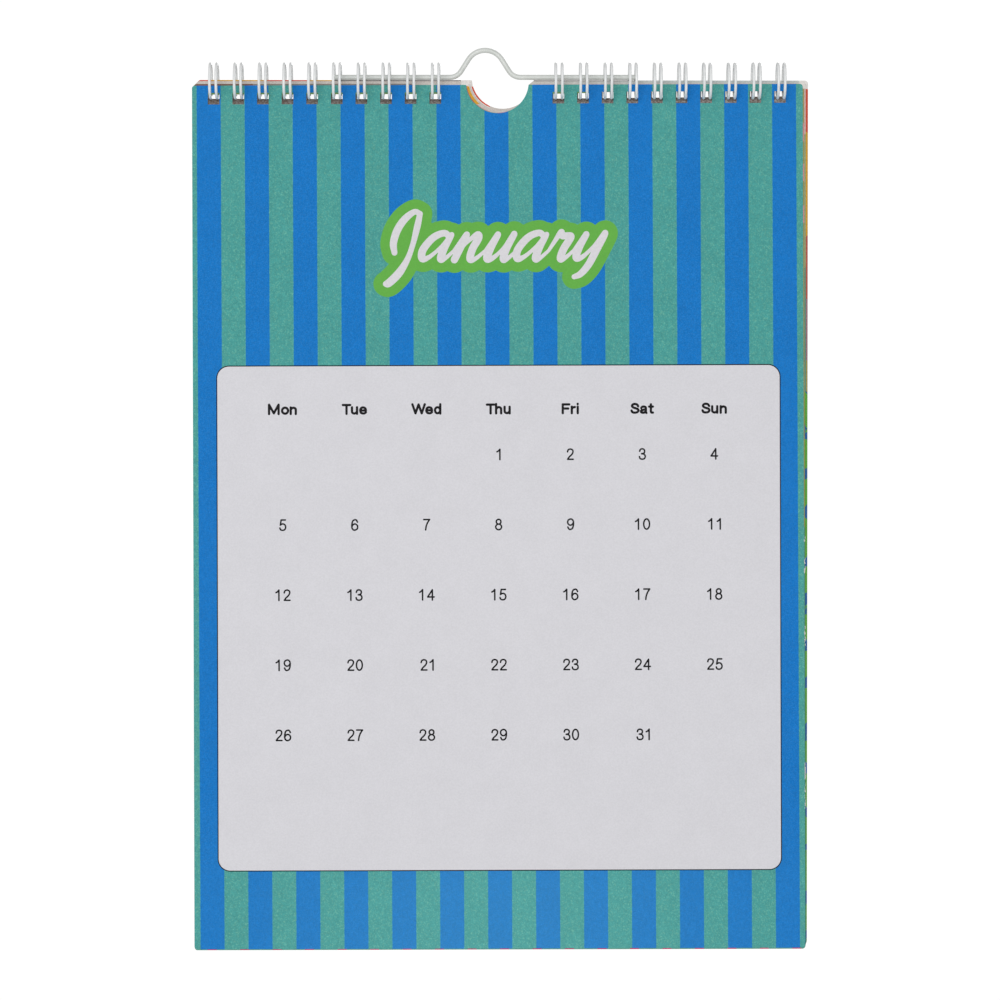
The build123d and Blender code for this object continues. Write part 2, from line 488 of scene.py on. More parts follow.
def darkened_holes(tree, place, printed):
    """The print, with painted shade in rough patches in and just below the punched holes."""
    x, down = front_page_places(tree, place)
    column = sum_of(tree, "FLOORED_MODULO", sum_of(tree, "MULTIPLY", x, 1 / HOLE_PITCH), 1.0)
    from_column = sum_of(tree, "ABSOLUTE", sum_of(tree, "SUBTRACT", column, 0.5))
    highest = HOLE_DROP - HOLE_SIDE / 2 - HOLE_SHADE_OVER
    lowest = HOLE_DROP + HOLE_SIDE / 2 + HOLE_SHADE_UNDER
    in_hole = all_of(tree, below(tree, from_column, HOLE_SHADE_HALF_WIDTH / HOLE_PITCH),
                     within(tree, down, highest, lowest),
                     within(tree, sum_of(tree, "ABSOLUTE", x), HOLE_SHADE_START, HOLE_SHADE_END))
    patch = spots(tree, place, size=0.6, low=0.42, high=0.62, detail=4.0)
    # Painted shade in the holes: rough patches of brown and grey
    hole_shade = blended(tree, patch, HOLE_SHADE_BROWN, HOLE_SHADE_GREY)
    # Green ink in painted shade at the top of the holes on the left
    green = all_of(tree, below(tree, down, SHADED_GREEN_LIMIT), below(tree, x, SHADED_GREEN_RIGHT))
    hole_shade = blended(tree, green, hole_shade, HOLE_SHADE_GREEN)
    return blended(tree, in_hole, printed, hole_shade)


def fanned_paper():
    """The later sheets: the striped second page, inks and painted shade on the margins, painted shade in the
    holes, and bare edges and backs.
    """
    material, tree, shader = new_finish("fanned_paper", roughness=0.72)
    place = object_place(tree)
    order = step(tree, "ShaderNodeAttribute", {}, attribute_name="order").outputs["Fac"]
    origin, right, up = sheet_axes(order_share(0), LATER_Y)
    down = along(tree, place, origin, -up)
    x = along(tree, place, origin, right)
    wavy = sum_of(tree, "ADD", x, wander(tree, place, STRIPE_WANDER_SIZE, STRIPE_WANDER))
    page = print_grain(tree, place, second_stripes(tree, wavy), spread=0.12)
    on_second = all_of(tree, below(tree, order, 0.5), below(tree, x, SHEET_WIDTH / 2 - PAGE_EDGE),
                       above(tree, down, PAGE_EDGE))
    printed = blended(tree, on_second, margin_print(tree, place, order), page)
    depth = along(tree, place, origin, (0, 1, 0))
    depth = sum_of(tree, "MULTIPLY_ADD", order, -SHEET_SPACING, depth)
    bare = shaded(tree, PAPER_EDGE, grain(tree, place, size=0.8, spread=0.04))
    paper = blended(tree, below(tree, depth, LATER_PRINT_DEPTH), bare, printed)
    finish_paper(tree, shader, place, darkened_holes(tree, place, paper))
    return material


# The card's fibres are drawn out along its height
FIBRE_SCALES = (1.0, 1.0, 0.25)


def cover_card():
    """A card that is printed, with painted shade in its holes, on its front and left plain, with its fibres,
    on its back and edges.
    """
    material, tree, shader = new_finish("cover_card", roughness=0.75)
    place = object_place(tree)
    origin = sheet_axes(1, COVER_Y)[0]
    depth = along(tree, place, origin, (0, 1, 0))
    drawn_out = step(tree, "ShaderNodeMapping", {"Vector": place, "Scale": FIBRE_SCALES}).outputs[0]
    fibre = spots(tree, drawn_out, size=0.5, low=0.35, high=0.68, detail=5.0)
    plain = blended(tree, fibre, CARD_PALE, CARD_FIBRE)
    plain = shaded(tree, plain, grain(tree, place, size=22, spread=0.03))
    printed = margin_print(tree, place, LATER_SHEETS)
    card = blended(tree, below(tree, depth, LATER_PRINT_DEPTH), plain, printed)
    on_back = above(tree, depth, COVER_THICKNESS - LATER_PRINT_DEPTH)
    card = blended(tree, on_back, darkened_holes(tree, place, card), plain)
    finish_paper(tree, shader, place, card, relief_size=0.6, relief_depth=0.01)
    return material


def flat_ink(name, colour, roughness):
    """A layer of printed ink with the grain of the paper under it."""
    material, tree, shader = new_finish(name, roughness)
    place = object_place(tree)
    fine = shaded(tree, colour, grain(tree, place, size=0.5, spread=0.035))
    patches = shaded(tree, fine, grain(tree, place, size=9, spread=0.012))
    finish_paper(tree, shader, place, patches)
    return material


# The roughness of the wires' coat where it shines most and where it is dull
COAT_SHINY, COAT_DULL = 0.3, 0.46


def coated_wire(name, colour, shade_colour):
    """A satin plastic coat on wire, a little uneven, with dull patches."""
    material, tree, shader = new_finish(name, roughness=0.36)
    place = object_place(tree)
    patches = spots(tree, place, size=2.2, low=0.35, high=0.7)
    tree.links.new(blended(tree, patches, colour, shade_colour), shader.inputs["Base Color"])
    uneven = mapped(tree, noise(tree, place, size=0.9), NOISE_LOW, NOISE_HIGH, COAT_SHINY, COAT_DULL)
    tree.links.new(uneven, shader.inputs["Roughness"])
    shader.inputs["Coat Weight"].default_value = 0.25
    shader.inputs["Coat Roughness"].default_value = 0.2
    roughened(tree, shader, place, size=0.5, depth=0.006)
    return material


# Print that is drawn with strokes of a pen. A stroke is a list of points, each with the pen's radius.


def smooth_line(points, steps):
    """A smooth line through the points, with a number of steps from each to the next."""
    points = np.array(points, dtype=float)
    padded = np.vstack([2 * points[0] - points[1], points, 2 * points[-1] - points[-2]])
    line = []
    for p0, p1, p2, p3 in zip(padded, padded[1:], padded[2:], padded[3:]):
        for t in np.linspace(0, 1, steps, endpoint=False):
            line.append(0.5 * (2 * p1 + (p2 - p0) * t + (2 * p0 - 5 * p1 + 4 * p2 - p3) * t**2
                               + (3 * p1 - p0 - 3 * p2 + p3) * t**3))
    line.append(points[-1])
    return np.array(line)


def oval(x, y, half_width, half_height, count=24):
    angles = np.linspace(0, 2 * math.pi, count + 1)
    return np.stack([x + half_width * np.cos(angles), y + half_height * np.sin(angles)], 1)


def pen_field(strokes, xs, ys):
    """How far each point of a grid is outside the strokes. Inside, it is negative."""
    grid_x, grid_y = np.meshgrid(xs, ys)
    field = np.full(grid_x.shape, 1e9)
    for stroke in strokes:
        for (x0, y0, r0), (x1, y1, r1) in zip(stroke, stroke[1:]):
            dx, dy = x1 - x0, y1 - y0
            share = ((grid_x - x0) * dx + (grid_y - y0) * dy) / max(dx * dx + dy * dy, 1e-12)
            share = np.clip(share, 0, 1)
            distance = np.hypot(grid_x - x0 - dx * share, grid_y - y0 - dy * share)
            field = np.minimum(field, distance - r0 - (r1 - r0) * share)
    return field


# Which sides of a grid square the outline joins, for each set of its corners that is inside.
# Sides: 0 below, 1 right, 2 above, 3 left. Corners count 1, 2, 4 and 8, round from below left.
SQUARE_LINES = {
    1: [(0, 3)], 2: [(1, 0)], 3: [(1, 3)], 4: [(2, 1)], 5: [(0, 3), (2, 1)], 6: [(2, 0)], 7: [(2, 3)],
    8: [(3, 2)], 9: [(0, 2)], 10: [(1, 0), (3, 2)], 11: [(1, 2)], 12: [(3, 1)], 13: [(0, 1)], 14: [(3, 0)],
}


def outlines(field, xs, ys):
    """Closed outlines of the part of a grid where the field is negative."""
    inside = field < 0
    kinds = inside[:-1, :-1] + 2 * inside[:-1, 1:] + 4 * inside[1:, 1:] + 8 * inside[1:, :-1]
    following = {}
    for row, column in np.argwhere((kinds > 0) & (kinds < 15)):
        sides = [("across", row, column), ("up", row, column + 1), ("across", row + 1, column),
                 ("up", row, column)]
        for start, end in SQUARE_LINES[int(kinds[row, column])]:
            following[sides[start]] = sides[end]
    loops = []
    while following:
        first, side = following.popitem()
        loop = [first]
        while side != first:
            loop.append(side)
            side = following.pop(side)
        points = []
        for way, row, column in loop:
            other = (row, column + 1) if way == "across" else (row + 1, column)
            here = field[row, column]
            share = here / (here - field[other])
            points.append((xs[column] + (xs[other[1]] - xs[column]) * share,
                           ys[row] + (ys[other[0]] - ys[row]) * share))
        loops.append(points)
    return loops


def stroke_outlines(strokes, grow, spacing):
    """Outlines of the strokes, grown outwards all round."""
    everything = np.vstack(strokes)
    reach = everything[:, 2].max() + grow + 2 * spacing
    low = everything[:, :2].min(0) - reach
    high = everything[:, :2].max(0) + reach
    xs = np.arange(low[0], high[0] + spacing, spacing)
    ys = np.arange(low[1], high[1] + spacing, spacing)
    return outlines(pen_field(strokes, xs, ys) - grow, xs, ys)


def rounded_outline(left, right, bottom, top, radius, steps=10):
    points = []
    corners = [(right - radius, top - radius, 0), (left + radius, top - radius, 90),
               (left + radius, bottom + radius, 180), (right - radius, bottom + radius, 270)]
    for x, y, start in corners:
        for angle in np.radians(np.linspace(start, start + 90, steps)):
            points.append((x + radius * math.cos(angle), y + radius * math.sin(angle)))
    return points


# Corners of a mesh that lie closer than this are one
MERGE_DISTANCE = 0.0005


def printed_plate(name, loops, page, layer, material, body):
    """A thin layer of ink on a page, between its lower and upper side above the paper."""
    share, front_y = page
    low, high = layer
    curve = bpy.data.curves.new(name, "CURVE")
    curve.dimensions = "2D"
    curve.fill_mode = "BOTH"
    curve.extrude = (high - low) / 2 * MM
    for loop in loops:
        spline = curve.splines.new("POLY")
        spline.points.add(len(loop) - 1)
        for point, (x, y) in zip(spline.points, loop):
            point.co = (x * MM, y * MM, 0, 1)
        spline.use_cyclic_u = True
    drawn = bpy.data.objects.new(name + "_curve", curve)
    scene.collection.objects.link(drawn)
    mesh = bpy.data.meshes.new_from_object(drawn.evaluated_get(bpy.context.evaluated_depsgraph_get()))
    bpy.data.objects.remove(drawn)
    bpy.data.curves.remove(curve)
    origin, right, up = sheet_axes(share, front_y)
    out = Vector((0, -1, 0))
    middle = origin + out * ((low + high) / 2 * MM)
    turn = Matrix((right, up, out)).transposed().to_4x4()
    mesh.transform(Matrix.Translation(middle) @ turn)
    shell = bmesh.new()
    shell.from_mesh(mesh)
    bmesh.ops.remove_doubles(shell, verts=shell.verts, dist=MERGE_DISTANCE * MM)
    bmesh.ops.recalc_face_normals(shell, faces=shell.faces)
    shell.to_mesh(mesh)
    shell.free()
    return add_piece(name, mesh, material, body)


def add_piece(name, mesh, material, body):
    """Makes a mesh a piece of the visual model, on its body and with its material."""
    mesh.name = name
    mesh.materials.clear()
    mesh.materials.append(material)
    piece = bpy.data.objects.new(name, mesh)
    scene.collection.objects.link(piece)
    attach(piece, body)
    return piece


# Plain upright figures and letters, drawn on a height of 1. Straight lines are tuples of corners and
# curves are lists of points.
FIGURES = {
    "0": [oval(0.31, 0.5, 0.25, 0.44)],
    "1": [[(0.1, 0.72), (0.22, 0.79), (0.35, 0.94)], ((0.35, 0.94), (0.35, 0.05))],
    "2": [[(0.07, 0.7), (0.13, 0.87), (0.31, 0.94), (0.49, 0.87), (0.54, 0.7), (0.44, 0.48), (0.2, 0.24),
           (0.08, 0.06)], ((0.08, 0.06), (0.56, 0.06))],
    "3": [[(0.08, 0.73), (0.15, 0.89), (0.3, 0.94), (0.46, 0.88), (0.51, 0.72), (0.44, 0.57), (0.25, 0.52)],
          [(0.25, 0.52), (0.47, 0.47), (0.56, 0.29), (0.49, 0.11), (0.3, 0.05), (0.12, 0.11), (0.06, 0.27)]],
    "4": [((0.45, 0.05), (0.45, 0.93), (0.05, 0.31), (0.6, 0.31))],
    "5": [((0.53, 0.94), (0.17, 0.94), (0.1, 0.5)),
          [(0.1, 0.5), (0.28, 0.6), (0.47, 0.54), (0.56, 0.33), (0.48, 0.12), (0.3, 0.05), (0.12, 0.11),
           (0.06, 0.25)]],
    "6": [[(0.54, 0.74), (0.46, 0.9), (0.32, 0.94), (0.14, 0.83), (0.06, 0.5), (0.08, 0.22), (0.19, 0.08),
           (0.32, 0.05), (0.5, 0.14), (0.56, 0.33), (0.48, 0.51), (0.32, 0.58), (0.16, 0.51), (0.07, 0.36)]],
    "7": [((0.06, 0.94), (0.56, 0.94)), [(0.56, 0.94), (0.37, 0.64), (0.26, 0.33), (0.22, 0.05)]],
    "8": [oval(0.31, 0.735, 0.2, 0.205), oval(0.31, 0.29, 0.25, 0.24)],
    "9": [[(0.08, 0.26), (0.16, 0.1), (0.3, 0.06), (0.48, 0.17), (0.56, 0.5), (0.54, 0.78), (0.43, 0.92),
           (0.3, 0.95), (0.12, 0.86), (0.06, 0.67), (0.14, 0.49), (0.3, 0.42), (0.46, 0.49), (0.55, 0.64)]],
    "M": [((0.1, 0.05), (0.1, 0.95), (0.47, 0.12), (0.84, 0.95), (0.84, 0.05))],
    "T": [((0.05, 0.9), (0.62, 0.9)), ((0.335, 0.9), (0.335, 0.05))],
    "W": [((0.05, 0.95), (0.29, 0.08), (0.53, 0.93), (0.77, 0.08), (1.01, 0.95))],
    "F": [((0.12, 0.05), (0.12, 0.9), (0.62, 0.9)), ((0.12, 0.5), (0.54, 0.5))],
    "S": [[(0.6, 0.7), (0.52, 0.86), (0.35, 0.92), (0.18, 0.86), (0.13, 0.71), (0.23, 0.58), (0.42, 0.5),
           (0.58, 0.41), (0.62, 0.27), (0.53, 0.13), (0.35, 0.08), (0.16, 0.13), (0.09, 0.29)]],
    "o": [oval(0.32, 0.37, 0.23, 0.29)],
    "n": [((0.1, 0.05), (0.1, 0.68)), [(0.1, 0.46), (0.2, 0.61), (0.33, 0.65), (0.46, 0.57), (0.49, 0.42),
                                      (0.49, 0.05)]],
    "u": [((0.49, 0.05), (0.49, 0.68)), [(0.49, 0.27), (0.39, 0.12), (0.26, 0.08), (0.13, 0.16), (0.1, 0.31),
                                        (0.1, 0.68)]],
    "e": [((0.08, 0.37), (0.52, 0.37)), [(0.52, 0.37), (0.46, 0.58), (0.3, 0.66), (0.14, 0.58), (0.08, 0.37),
                                         (0.14, 0.15), (0.3, 0.08), (0.43, 0.11), (0.52, 0.2)]],
    "d": [oval(0.29, 0.37, 0.2, 0.29), ((0.5, 0.05), (0.5, 0.95))],
    "h": [((0.1, 0.05), (0.1, 0.95)), [(0.1, 0.46), (0.2, 0.61), (0.33, 0.65), (0.46, 0.57), (0.49, 0.42),
                                      (0.49, 0.05)]],
    "r": [((0.1, 0.05), (0.1, 0.68)), [(0.1, 0.44), (0.17, 0.59), (0.34, 0.64)]],
    "i": [((0.1, 0.05), (0.1, 0.68)), ((0.1, 0.93), (0.1, 0.95))],
    "a": [[(0.1, 0.53), (0.17, 0.63), (0.3, 0.67), (0.43, 0.61), (0.46, 0.47), (0.46, 0.16), (0.5, 0.05)],
          [(0.46, 0.4), (0.25, 0.35), (0.1, 0.27), (0.09, 0.14), (0.22, 0.07), (0.38, 0.12), (0.46, 0.27)]],
    "t": [[(0.19, 0.88), (0.19, 0.5), (0.19, 0.2), (0.24, 0.09), (0.34, 0.08)], ((0.05, 0.66), (0.34, 0.66))],
}
# Widths that differ from the usual one, on the same height
FIGURE_WIDTHS = {"M": 1.02, "W": 1.05, "T": 0.66, "F": 0.72, "S": 0.74, "i": 0.3, "r": 0.46, "t": 0.42}


def text_strokes(text, height, pen, usual_width, stretch):
    """The strokes of a short word or number, centred on 0, 0. The pen is its radius."""
    strokes = []
    x = 0
    for letter in text:
        for line in FIGURES[letter]:
            points = np.array(line) if isinstance(line, (tuple, np.ndarray)) else smooth_line(line, steps=5)
            placed = np.column_stack([(points[:, 0] + x) * stretch, points[:, 1] - 0.5])
            strokes.append(np.column_stack([placed * height, np.full(len(placed), pen)]))
        x += FIGURE_WIDTHS.get(letter, usual_width)
    everything = np.vstack(strokes)
    middle = (everything[:, 0].min() + everything[:, 0].max()) / 2
    for stroke in strokes:
        stroke[:, 0] -= middle
    return strokes


def moved(loops, x, y):
    return [[(px + x, py + y) for px, py in loop] for loop in loops]


# How the weekdays and the day numbers are lettered. Heights and the pen's radius are in millimetres,
# and a usual letter's width is on a height of 1.
WEEKDAYS = ["Mon", "Tue", "Wed", "Thu", "Fri", "Sat", "Sun"]
WEEKDAY_LETTERS = {"height": 3.55, "pen": 0.41, "usual_width": 0.66, "stretch": 1.25}
NUMBER_FIGURES = {"height": 4.0, "pen": 0.275, "usual_width": 0.74, "stretch": 1.0}
MIDDLE_COLUMN = 3

# How finely the outlines of the letters, of the month's name and of the halo round it are drawn
LETTER_SPACING = 0.09
MONTH_SPACING = 0.18
HALO_SPACING = 0.35


def column_loops(strokes, column, height):
    """The outlines of the strokes, in the middle of a column of the panel and at a height."""
    return moved(stroke_outlines(strokes, 0, LETTER_SPACING), (column - MIDDLE_COLUMN) * COLUMN_PITCH, height)


def weekday_loops():
    loops = []
    for column, word in enumerate(WEEKDAYS):
        loops += column_loops(text_strokes(word, **WEEKDAY_LETTERS), column, WEEKDAY_HEIGHT)
    return loops


def number_loops(first_column, day_count):
    loops = []
    for day in range(1, day_count + 1):
        row, column = divmod(first_column + day - 1, len(WEEKDAYS))
        strokes = text_strokes(str(day), **NUMBER_FIGURES)
        loops += column_loops(strokes, column, FIRST_ROW - row * ROW_PITCH)
    return loops


# Slanting pen letters for the months' names, on a small-letter height of 1. Each point has x, y and
# the pen's weight, and each letter has its width.
PEN_LETTERS = {
    "J": (1.06, [[(0.22, 0.3, 0.8), (0.05, 0.62, 1.0), (0.0, 1.05, 1.05), (0.1, 1.42, 1.0),
                  (0.32, 1.66, 0.8), (0.54, 1.6, 0.75)],
                 [(0.54, 1.6, 0.75), (0.62, 1.2, 0.9), (0.72, 0.6, 0.75), (0.75, 0.1, 0.8),
                  (0.66, -0.36, 1.1), (0.46, -0.7, 1.1), (0.36, -0.74, 0.8)]]),
    "F": (1.3, [[(0.0, 1.4, 0.7), (0.1, 1.66, 0.9), (0.5, 1.74, 1.0), (1.0, 1.68, 0.8), (1.3, 1.78, 0.5)],
                [(0.7, 1.7, 0.7), (0.66, 1.0, 1.0), (0.6, 0.3, 1.0), (0.42, 0.0, 0.8), (0.15, 0.08, 0.5)],
                [(0.32, 0.86, 0.5), (0.65, 0.92, 0.8), (1.0, 1.0, 0.5)]]),
    "a": (1.08, [[(0.78, 0.84, 0.85), (0.56, 0.95, 0.9), (0.26, 0.8, 1.0), (0.08, 0.4, 1.05),
                  (0.18, 0.1, 1.0), (0.4, 0.16, 0.6), (0.66, 0.5, 0.5), (0.84, 0.9, 0.7),
                  (0.78, 0.45, 1.0), (0.8, 0.1, 1.05), (0.94, 0.1, 0.6), (1.14, 0.36, 0.45)]]),
    "n": (1.06, [[(0.05, 0.34, 0.45), (0.16, 0.66, 0.6), (0.27, 0.9, 0.85), (0.24, 0.5, 1.0),
                  (0.2, 0.06, 1.0)],
                 [(0.22, 0.32, 0.45), (0.4, 0.66, 0.5), (0.62, 0.9, 0.85), (0.72, 0.78, 1.0),
                  (0.66, 0.42, 1.05), (0.72, 0.08, 1.0), (0.9, 0.1, 0.6), (1.12, 0.36, 0.45)]]),
    "u": (1.06, [[(0.05, 0.34, 0.45), (0.16, 0.66, 0.6), (0.26, 0.9, 0.85), (0.2, 0.48, 1.05),
                  (0.22, 0.1, 1.05), (0.42, 0.12, 0.65), (0.64, 0.45, 0.5), (0.8, 0.92, 0.85),
                  (0.74, 0.45, 1.05), (0.78, 0.08, 1.0), (0.92, 0.1, 0.6), (1.12, 0.36, 0.45)]]),
    "r": (0.84, [[(0.05, 0.34, 0.45), (0.14, 0.7, 0.6), (0.22, 0.98, 0.8), (0.32, 0.84, 0.9),
                  (0.5, 0.86, 0.9), (0.62, 0.8, 1.0), (0.54, 0.42, 1.05), (0.56, 0.09, 1.0),
                  (0.7, 0.1, 0.6), (0.9, 0.36, 0.45)]]),
    "y": (1.04, [[(0.05, 0.34, 0.45), (0.16, 0.66, 0.6), (0.26, 0.9, 0.85), (0.2, 0.48, 1.05),
                  (0.24, 0.12, 1.0), (0.44, 0.14, 0.65), (0.68, 0.5, 0.5), (0.88, 0.94, 0.85),
                  (0.82, 0.4, 1.05), (0.76, -0.1, 1.0), (0.62, -0.42, 0.9), (0.44, -0.52, 0.7)]]),
    "e": (0.9, [[(0.05, 0.34, 0.45), (0.4, 0.48, 0.6), (0.62, 0.76, 0.7), (0.44, 0.94, 0.8), (0.18, 0.7, 1.0),
                 (0.1, 0.36, 1.05), (0.22, 0.08, 1.0), (0.5, 0.1, 0.65), (0.96, 0.36, 0.45)]]),
    "b": (0.94, [[(0.05, 0.34, 0.45), (0.36, 0.95, 0.5), (0.46, 1.5, 0.7), (0.3, 1.66, 0.8),
                  (0.2, 1.2, 1.0), (0.14, 0.5, 1.05), (0.2, 0.1, 1.0), (0.44, 0.08, 0.85),
                  (0.66, 0.38, 0.85), (0.6, 0.76, 0.7), (0.72, 0.6, 0.5), (0.99, 0.36, 0.45)]]),
}

# The slant is to the right for each unit up. The rest is in millimetres.
PEN_SLANT = 0.42
PEN_LETTER_HEIGHT = 10.3
PEN_RADIUS = 1.25
HALO_WIDTH = 3.3


def title_strokes(word, left, right):
    """The strokes of a month's name, slanted, on the title's baseline and between two places."""
    strokes = []
    x = 0
    for letter in word:
        width, lines = PEN_LETTERS[letter]
        for line in lines:
            points = smooth_line(line, steps=6)
            points[:, 0] += x + PEN_SLANT * points[:, 1]
            strokes.append(points)
        x += width
    everything = np.vstack(strokes)
    low, high = everything[:, 0].min(), everything[:, 0].max()
    stretch = (right - left - 2 * PEN_RADIUS) / ((high - low) * PEN_LETTER_HEIGHT)
    for stroke in strokes:
        stroke[:, 0] = left + PEN_RADIUS + (stroke[:, 0] - low) * PEN_LETTER_HEIGHT * stretch
        stroke[:, 1] = TITLE_BASELINE + stroke[:, 1] * PEN_LETTER_HEIGHT
        stroke[:, 2] = PEN_RADIUS * stroke[:, 2]
    return strokes


def print_page(prefix, page, body, word, halo_ink, first_column, day_count):
    """Lays the panel, the month's name and the month of days on a page."""
    panel = rounded_outline(PANEL_LEFT, PANEL_RIGHT, PANEL_BOTTOM, PANEL_TOP, PANEL_CORNER)
    line = rounded_outline(PANEL_LEFT - PANEL_LINE, PANEL_RIGHT + PANEL_LINE, PANEL_BOTTOM - PANEL_LINE,
                           PANEL_TOP + PANEL_LINE, PANEL_CORNER + PANEL_LINE)
    name_strokes = title_strokes(word, TITLE_LEFT, TITLE_RIGHT)
    halo = stroke_outlines(name_strokes, HALO_WIDTH, HALO_SPACING)
    letters = stroke_outlines(name_strokes, 0, MONTH_SPACING)
    numbers = number_loops(first_column, day_count)
    for name, loops, layer, material in (
            ("_panel_line", [line], LINE_LAYER, text_ink),
            ("_panel", [panel], FIELD_LAYER, panel_ink),
            ("_weekdays", weekday_loops(), LETTER_LAYER, text_ink),
            ("_numbers", numbers, LETTER_LAYER, text_ink),
            ("_halo", halo, FIELD_LAYER, halo_ink),
            ("_month", letters, LETTER_LAYER, letter_ink)):
        printed_plate(prefix + name, loops, page, layer, material, body)


# The later sheets: a fan of punched sheets behind the front leaf


def edge_mesh(name, loops):
    """Closed outlines, in millimetres, as the edges of a mesh."""
    places = []
    edges = []
    for loop in loops:
        first = len(places)
        places += [(x * MM, y * MM, 0) for x, y in loop]
        edges += [(first + index, first + (index + 1) % len(loop)) for index in range(len(loop))]
    mesh = bpy.data.meshes.new(name)
    mesh.from_pydata(places, edges, [])
    drawn = bpy.data.objects.new(name, mesh)
    scene.collection.objects.link(drawn)
    return drawn


# Points round a corner of a sheet and round its thumb cut
CORNER_STEPS = 8
CUT_STEPS = 40


def sheet_outline():
    """The outline of a sheet with its thumb cut, from the middle of its top edge."""
    half = SHEET_WIDTH / 2
    outline = rounded_outline(-half, half, -SHEET_HEIGHT, 0, SHEET_CORNER, CORNER_STEPS)
    rise = THUMB_RADIUS - THUMB_DEPTH
    start = math.degrees(math.asin(-rise / THUMB_RADIUS))
    cut = []
    for angle in np.radians(np.linspace(start, -180 - start, CUT_STEPS)):
        cut.append((THUMB_RADIUS * math.cos(angle), rise + THUMB_RADIUS * math.sin(angle)))
    return outline[:CORNER_STEPS] + cut + outline[CORNER_STEPS:]


def hole_outlines():
    """The outlines of the punched holes that show, from the middle of the line of their top edges."""
    half = HOLE_SIDE / 2
    middle_place = (HOLE_PLACES - 1) / 2
    loops = []
    for order in range(HOLE_PLACES):
        if abs(order - middle_place) > MIDDLE_PLACES_LEFT_OUT / 2:
            x = (order - middle_place) * HOLE_PITCH
            top = np.interp(x, TOP_LOSS_PLACES, [-SHOWN_TOP_LOSS, 0])
            bottom = -HOLE_SIDE + np.interp(x, BOTTOM_LOSS_PLACES, [0, SHOWN_BOTTOM_LOSS])
            loops.append([(x - half, bottom), (x + half, bottom), (x + half, top), (x - half, top)])
    return loops


def fan_tree():
    """Nodes that repeat one punched sheet, each further back, further right, higher and turned."""
    tree = bpy.data.node_groups.new("fanned_sheets", "GeometryNodeTree")
    sockets = [("Outline", "Geometry"), ("Holes", "Object"), ("Sheets", "Int"), ("Thickness", "Float"),
               ("Spacing", "Float"), ("Shift", "Float"), ("Rise", "Float"), ("First turn", "Float"),
               ("Last turn", "Float"), ("First hole shift", "Float"), ("Last hole shift", "Float"),
               ("Hole top", "Float"), ("Height gain", "Float"), ("Finish", "Material")]
    for name, kind in sockets:
        tree.interface.new_socket(name, in_out="INPUT", socket_type="NodeSocket" + kind)
    tree.interface.new_socket("Fan", in_out="OUTPUT", socket_type="NodeSocketGeometry")
    given = tree.nodes.new("NodeGroupInput").outputs
    outline = step(tree, "GeometryNodeMeshToCurve", {"Mesh": given["Outline"]}).outputs[0]
    hole_edges = step(tree, "GeometryNodeObjectInfo", {"Object": given["Holes"]}).outputs["Geometry"]
    holes = step(tree, "GeometryNodeMeshToCurve", {"Mesh": hole_edges}).outputs[0]

    turn_in = tree.nodes.new("GeometryNodeRepeatInput")
    turn_out = tree.nodes.new("GeometryNodeRepeatOutput")
    turn_in.pair_with_output(turn_out)
    tree.links.new(given["Sheets"], turn_in.inputs["Iterations"])
    order = turn_in.outputs["Iteration"]
    share = sum_of(tree, "DIVIDE", sum_of(tree, "ADD", order, 1.0),
                   sum_of(tree, "ADD", given["Sheets"], 1.0))

    def part_way(first, last):
        return sum_of(tree, "MULTIPLY_ADD", sum_of(tree, "SUBTRACT", last, first), share, first)

    def vector(x=0.0, y=0.0, z=0.0):
        return step(tree, "ShaderNodeCombineXYZ", {"X": x, "Y": y, "Z": z}).outputs[0]

    def transformed(geometry, **values):
        return step(tree, "GeometryNodeTransform", {"Geometry": geometry, **values}).outputs[0]

    def joined(*geometries):
        join = tree.nodes.new("GeometryNodeJoinGeometry")
        for geometry in geometries:
            tree.links.new(geometry, join.inputs[0])
        return join.outputs[0]

    right = sum_of(tree, "MULTIPLY", given["Shift"], share)
    rise = sum_of(tree, "MULTIPLY", given["Rise"], share)
    from_tooth = part_way(given["First hole shift"], given["Last hole shift"])
    hole_shift = sum_of(tree, "SUBTRACT", from_tooth, right)
    moved_holes = transformed(holes, Translation=vector(hole_shift, given["Hole top"]))
    height = sum_of(tree, "MULTIPLY_ADD", given["Height gain"], sum_of(tree, "SUBTRACT", 1.0, share), 1.0)
    lengthened = transformed(outline, Scale=vector(1.0, height, 1.0))
    turn = part_way(given["First turn"], given["Last turn"])
    turned = transformed(joined(lengthened, moved_holes), Translation=vector(right, rise),
                         Rotation=vector(0.0, 0.0, turn))
    face = step(tree, "GeometryNodeFillCurve", {"Curve": turned}, mode="TRIANGLES").outputs[0]
    back = step(tree, "GeometryNodeFlipFaces", {"Mesh": face}).outputs[0]
    raised = step(tree, "GeometryNodeExtrudeMesh", {
        "Mesh": face, "Offset Scale": given["Thickness"], "Individual": False}).outputs[0]
    closed = step(tree, "GeometryNodeMergeByDistance", {
        "Geometry": joined(back, raised), "Distance": MERGE_DISTANCE * MM}).outputs[0]
    named = step(tree, "GeometryNodeStoreNamedAttribute", {
        "Geometry": closed, "Name": "order", "Value": order}, data_type="FLOAT").outputs[0]
    back_depth = sum_of(tree, "MULTIPLY_ADD", given["Spacing"], order, given["Thickness"])
    placed = transformed(named, Translation=vector(0.0, 0.0, sum_of(tree, "MULTIPLY", back_depth, -1.0)))
    pile = joined(turn_in.outputs["Geometry"], placed)
    tree.links.new(pile, turn_out.inputs["Geometry"])
    whole = step(tree, "GeometryNodeRealizeInstances", {"Geometry": turn_out.outputs["Geometry"]}).outputs[0]
    finished = step(tree, "GeometryNodeSetMaterial", {
        "Geometry": whole, "Material": given["Finish"]}).outputs[0]
    step(tree, "NodeGroupOutput", {"Fan": finished})
    return tree


